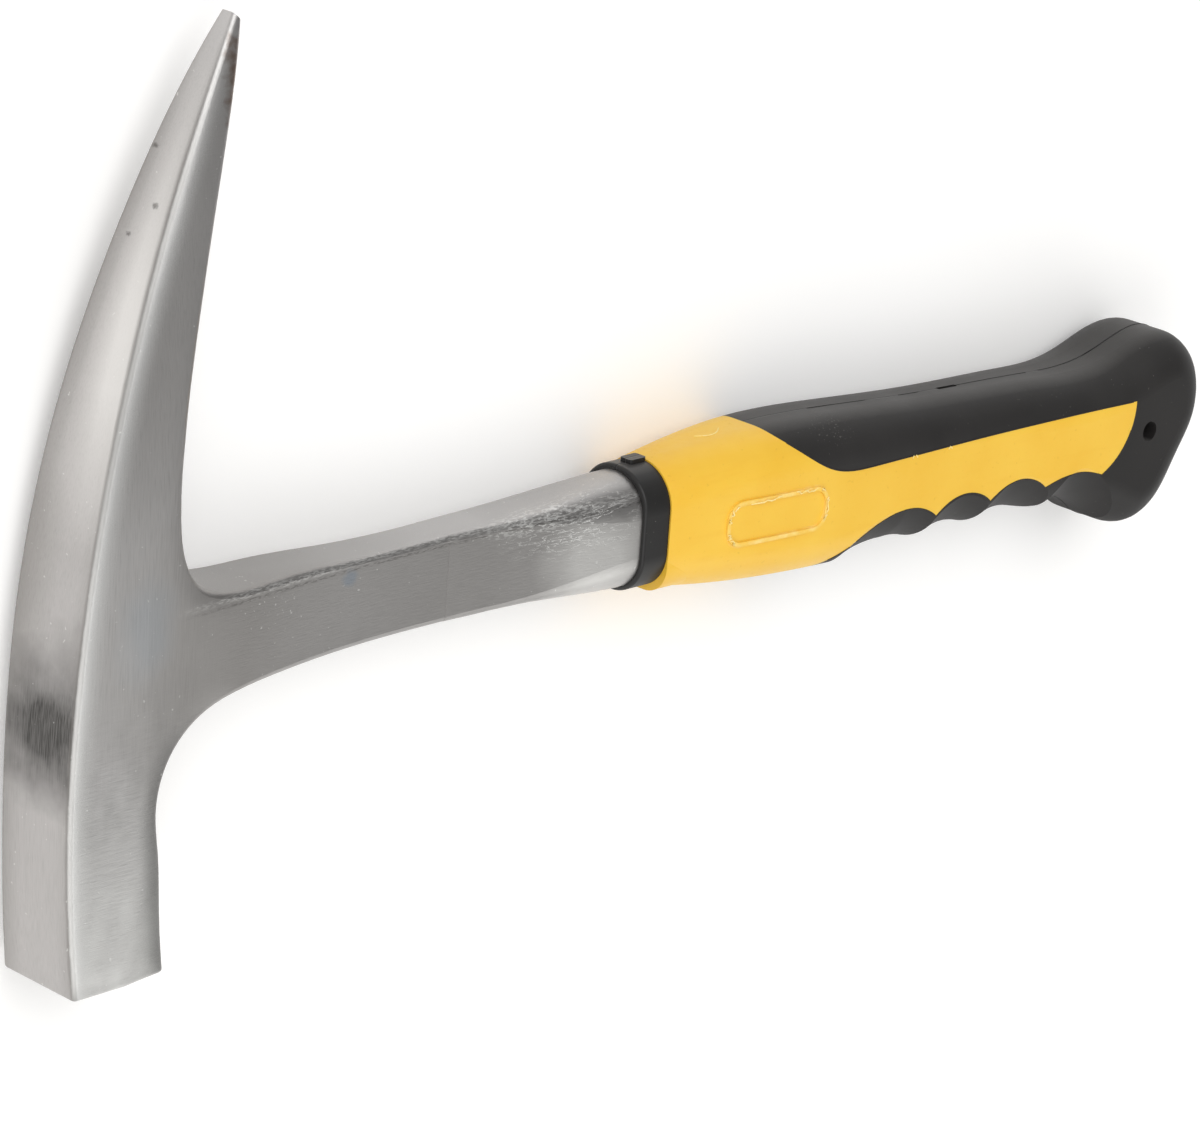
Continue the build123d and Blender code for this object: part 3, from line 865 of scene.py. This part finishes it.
seam_rubber, tree, mm, facing = new_material("seam_black_tpr")
tone = two_tones(tree, mm, 1.2, 0.35, 0.7, "0E0D0C", "2A241B")
uneven = add(tree, "TexNoise", {"Vector": mm, "Scale": 3.0, "Detail": 2.0})
relief = add(tree, "Bump", {"Height": uneven, "Strength": 1.0, "Distance": 0.02 * MM})
finish_material(tree, {"Base Color": tone, "Roughness": 0.6, "Normal": relief})
bead_piece("window_seam", seam_paths, SEAM_RADIUS, seam_rubber)

# %% [markdown]
# ## Parting line of the cover
# The two halves of the mould meet on the handle's middle plane and leave a fine ridge
# all round the rubber. Cutting the cover's mesh with that plane gives the line itself.
# The cut also passes through the inside of the cover, so an edge is kept only where a
# ray upwards or downwards leaves the rubber at once.

# %% Parting flash
PARTING_RADIUS = 0.11
STEP_OUT = 0.2  # mm that a ray starts clear of the surface
BUTT_MARGIN = 3
FRONT_MARGIN = 18

cover_tree = BVHTree.FromBMesh(cover)
bmesh.ops.bisect_plane(
    cover, geom=cover.verts[:] + cover.edges[:] + cover.faces[:],
    plane_co=(0, 0, middle.z), plane_no=(0, 0, 1), clear_inner=True, clear_outer=True,
)
open_edges = []
for edge in cover.edges:
    spot = edge_middle(edge)
    clear = []
    for way in (Vector((0, 1, 0)), Vector((0, -1, 0))):
        hit = cover_tree.ray_cast(spot + way * STEP_OUT * MM, way)
        clear.append(hit[0] is None)
    before_butt = spot.x < cover_high.x - BUTT_MARGIN * MM
    behind_front = spot.x > cover_low.x + FRONT_MARGIN * MM
    if any(clear) and before_butt and behind_front:
        open_edges.append(edge)
parting_paths = edge_paths(open_edges)
cover.free()
bead_piece("parting_flash", parting_paths, PARTING_RADIUS, cover_rubber)

# %% [markdown]
# ## Crumbs of flash
# Trimming the bead leaves short crumbs of torn polypropylene on it, and a few on the
# window's edge and on top of the barrel. To the eye they are pale and matt, and they
# catch the light, which a tint alone would not. So they are real pieces. Each is a
# short path, dropped onto the core by a ray so that it lies on the surface, and a
# seeded generator makes it drift the same way on every run.

# %% Crumbs on the bead
POINTS = 9
STRAIGHT = 0.35  # share of a turn's cosine that the bead's straight sides take
DRIFT = 0.35
SPREAD_X, SPREAD_Y = 14, 5
LIFT, HUMP = 0.10, 0.18
RAY_START = 0.1  # metres, well clear of the core
BEAD_CRUMBS = (  # start and length, as shares of the way round the bead
    (0.13, 0.05), (0.20, 0.03), (0.25, 0.04), (0.31, 0.06), (0.38, 0.04),
    (0.45, 0.05), (0.53, 0.05), (0.60, 0.06), (0.90, 0.05), (0.98, 0.06),
)
core_tree = BVHTree.FromObject(
    nodes["grip_core"], bpy.context.evaluated_depsgraph_get()
)
chance = random.Random(11)


def on_side(x, y):
    """The point of the core's near side at x, y, in metres."""
    return core_tree.ray_cast(Vector((x, y, RAY_START)), Vector((0, 0, -1)))[0]


def pill_point(turn):
    """A point on the bead, at a share of the way round it."""
    inner = PILL_HALF - Vector((PILL_ROUND, PILL_ROUND))
    angle = 2 * math.pi * turn
    corner = Vector((math.cos(angle), math.sin(angle)))
    if abs(corner.x) > STRAIGHT:
        x = math.copysign(inner.x, corner.x)
    else:
        x = inner.x * corner.x / STRAIGHT
    y = math.copysign(inner.y, corner.y)
    return Vector((x + PILL_ROUND * corner.x, y + PILL_ROUND * corner.y))


crumbs = []
for start, length in BEAD_CRUMBS:
    crumb = []
    for i in range(POINTS):
        across = pill_point(start + length * i / (POINTS - 1))
        drift = chance.uniform(-DRIFT, DRIFT)
        x = (badge_middle.x + across.x * (1 + drift / SPREAD_X)) * MM
        y = (badge_middle.y + across.y * (1 + drift / SPREAD_Y)) * MM
        lift = LIFT + HUMP * math.sin(math.pi * i / (POINTS - 1))
        crumb.append(on_side(x, y) + Vector((0, 0, lift * MM)))
    crumbs.append(crumb)
print("crumbs on the bead:", len(crumbs))

# %% Crumbs on the window's edge and on the barrel
CRUMB_RADIUS = 0.15
EDGE_POINTS = 5
EDGE_LIFT, TOP_LIFT = 0.12, 0.04
EDGE_CRUMBS = (  # start, length and rise in mm
    (place(core_low, 69.6, 21.6, 25.8), 1.6, 0.6),
    (place(core_low, 81.2, 21.5, 25.7), 1.1, 0.5),
)
TOP_CRUMBS = (
    (place(core_low, 15.5, 33.0, 13.4), 7.0, 1.8),
    (place(core_low, 37.6, 33.0, 14.4), 2.6, 0.5),
)


def on_top(x, z):
    """The point of the core's upper side at x, z, in metres."""
    return core_tree.ray_cast(Vector((x, RAY_START, z)), Vector((0, -1, 0)))[0]


for corner, length, rise in EDGE_CRUMBS:
    crumb = []
    for i in range(EDGE_POINTS):
        share = i / (EDGE_POINTS - 1)
        bow = math.sin(math.pi * share)
        spot = on_side((corner.x + length * share) * MM, (corner.y + rise * bow) * MM)
        crumb.append(spot + Vector((0, 0, EDGE_LIFT * MM)))
    crumbs.append(crumb)
for corner, length, rise in TOP_CRUMBS:
    crumb = []
    for i in range(POINTS):
        share = i / (POINTS - 1)
        bow = math.sin(math.pi * share)
        spot = on_top((corner.x + length * share) * MM, (corner.z + rise * bow) * MM)
        crumb.append(spot + Vector((0, TOP_LIFT * MM, 0)))
    crumbs.append(crumb)

flash_pp, tree, mm, facing = new_material("trimmed_pp_flash")
tone = two_tones(tree, mm, 1.5, 0.35, 0.65, "FADB78", "FCE8A4")
torn = add(tree, "TexNoise", {"Vector": mm, "Scale": 2.5, "Detail": 2.0})
relief = add(tree, "Bump", {"Height": torn, "Strength": 1.0, "Distance": 0.05 * MM})
finish_material(tree, {"Base Color": tone, "Roughness": 0.5, "Normal": relief})
bead_piece("bead_flash", crumbs, CRUMB_RADIUS, flash_pp)

# %% [markdown]
# ## The floor
# The hammer lies on a sheet of matt white paper. Brighter lamps would turn the sheet
# white but bleach the hammer too. So the paper glows a little by itself, only for what
# is seen directly or mirrored in the steel: less near the hammer, where its soft shadow
# has to stay, and more far away.

# %% Floor
NEAR, FAR = 300.0, 1400.0
NEAR_GLOW, FAR_GLOW = 0.18, 0.60
DROP = 0.2  # a hair below the hammer, so that the two never share a plane
sheet = bmesh.new()
bmesh.ops.create_grid(sheet, x_segments=4, y_segments=4, size=3.0)
floor_mesh = bpy.data.meshes.new("pale_floor")
sheet.to_mesh(floor_mesh)
sheet.free()
floor = bpy.data.objects.new("pale_floor", floor_mesh)
scene.collection.objects.link(floor)
floor.location = (0, 0, cad_low.z - DROP * MM)

paper, tree, mm, facing = new_material("pale_floor_sheet")
cloud = add(tree, "TexNoise", {"Vector": mm, "Scale": 0.02, "Detail": 2.0})
tone = add(
    tree, "Mix", {"Factor": cloud, UNDER: colour("F1F0EE"), OVER: colour("F4F3F2")},
    data_type="RGBA",
)
rays = add(tree, "LightPath", {}).outputs
mirrored = add(
    tree, "Math", {0: rays["Is Glossy Ray"], 1: rays["Is Transmission Ray"]},
    operation="MAXIMUM",
)
seen = add(tree, "Math", {0: rays["Is Camera Ray"], 1: mirrored}, operation="MAXIMUM")
away = add(tree, "VectorMath", {0: mm}, operation="LENGTH")
glow_range = {"From Min": NEAR, "From Max": FAR, "To Min": NEAR_GLOW, "To Max": FAR_GLOW}
glow = add(tree, "MapRange", {"Value": away, **glow_range})
glow = add(tree, "Math", {0: seen, 1: glow}, operation="MULTIPLY")
finish_material(
    tree,
    {"Base Color": tone, "Roughness": 0.7, "Emission Color": colour("FFFFFF"),
     "Emission Strength": glow},
)
floor_mesh.materials.append(paper)
print("floor is", round(floor.dimensions.x, 1), "m wide")

# %% [markdown]
# ## The sky
# Steel shows what is round it, and in an even white room it looks like plaster. The sky
# is a soft grey, with a darker side beyond the butt and a brighter one on the finger
# side, so that each face has something to reflect. What is seen directly stays plain
# white, and so does a mirrored strip at the horizon, where the floor ends.

# %% Sky
world = bpy.data.worlds.new("studio_sky")
scene.world = world
world.use_nodes = True
tree = world.node_tree
tree.nodes.clear()
ways = add(tree, "TexCoord", {}).outputs["Generated"]
sky = colour("B8B8B8")
for direction, near, far, code in (
    ((0.95, 0.1, 0.25), 0.98, 0.55, "7A7A7A"),
    ((0.3, -0.9, 0.35), 0.97, 0.5, "FAFAF8"),
):
    facts = {0: ways, 1: Vector(direction).normalized()}
    closeness = add(tree, "VectorMath", facts, operation="DOT_PRODUCT")
    side = add(tree, "MapRange", {"Value": closeness, "From Min": far, "From Max": near})
    sockets = {"Factor": side, UNDER: sky, OVER: colour(code)}
    sky = add(tree, "Mix", sockets, data_type="RGBA")

rays = add(tree, "LightPath", {}).outputs
mirrored = add(
    tree, "Math", {0: rays["Is Glossy Ray"], 1: rays["Is Transmission Ray"]},
    operation="MAXIMUM",
)
level = add(tree, "SeparateXYZ", {"Vector": ways}).outputs["Z"]
level = add(tree, "Math", {0: level}, operation="ABSOLUTE")
horizon = add(tree, "MapRange", {"Value": level, "From Min": 0.25, "From Max": 0.10})
horizon = add(tree, "Math", {0: mirrored, 1: horizon}, operation="MULTIPLY")
white = add(tree, "Math", {0: rays["Is Camera Ray"], 1: horizon}, operation="MAXIMUM")
seen = add(
    tree, "Mix", {"Factor": white, UNDER: sky, OVER: colour("FFFFFF")}, data_type="RGBA"
)
background = add(tree, "Background", {"Color": seen, "Strength": 1.0})
add(tree, "OutputWorld", {"Surface": background})
print("sky nodes:", len(tree.nodes))

# %% [markdown]
# ## The lamps
# Small product work uses big soft lamps close by. A large square lamp in front draws
# the long soft lights on the steel and the rubber, a weaker low one fills the finger
# side, and a very soft sun gives the shadow its direction. A square lamp is given by
# how bright it looks, because its power has to grow with its area to look the same.

# %% Lamps


def softbox(name, direction, distance, size, radiance):
    """A square lamp that faces the hammer and looks so bright in the steel."""
    lamp = bpy.data.lights.new(name, "AREA")
    lamp.shape = "SQUARE"
    lamp.size = size
    lamp.energy = radiance * math.pi * size * size
    holder = bpy.data.objects.new(name, lamp)
    scene.collection.objects.link(holder)
    way = Vector(direction).normalized()
    holder.location = middle + way * distance
    holder.rotation_euler = way.to_track_quat("Z", "Y").to_euler()
    print(name, round(lamp.energy, 1), "W")


softbox("front_softbox", (-0.66, -0.36, 0.66), distance=1.6, size=1.2, radiance=1.7)
softbox("low_softbox", (0.50, -0.66, 0.56), distance=1.7, size=0.9, radiance=0.55)
sun = bpy.data.lights.new("soft_sun", "SUN")
sun.energy = 1.4
sun.angle = math.radians(50)
sun_holder = bpy.data.objects.new("soft_sun", sun)
scene.collection.objects.link(sun_holder)
sun_way = Vector((-0.25, 0.60, 0.76))
sun_holder.rotation_euler = sun_way.to_track_quat("Z", "Y").to_euler()
scene.view_settings.view_transform = "Standard"
print("sun", round(sun.energy, 1), "W per square metre")
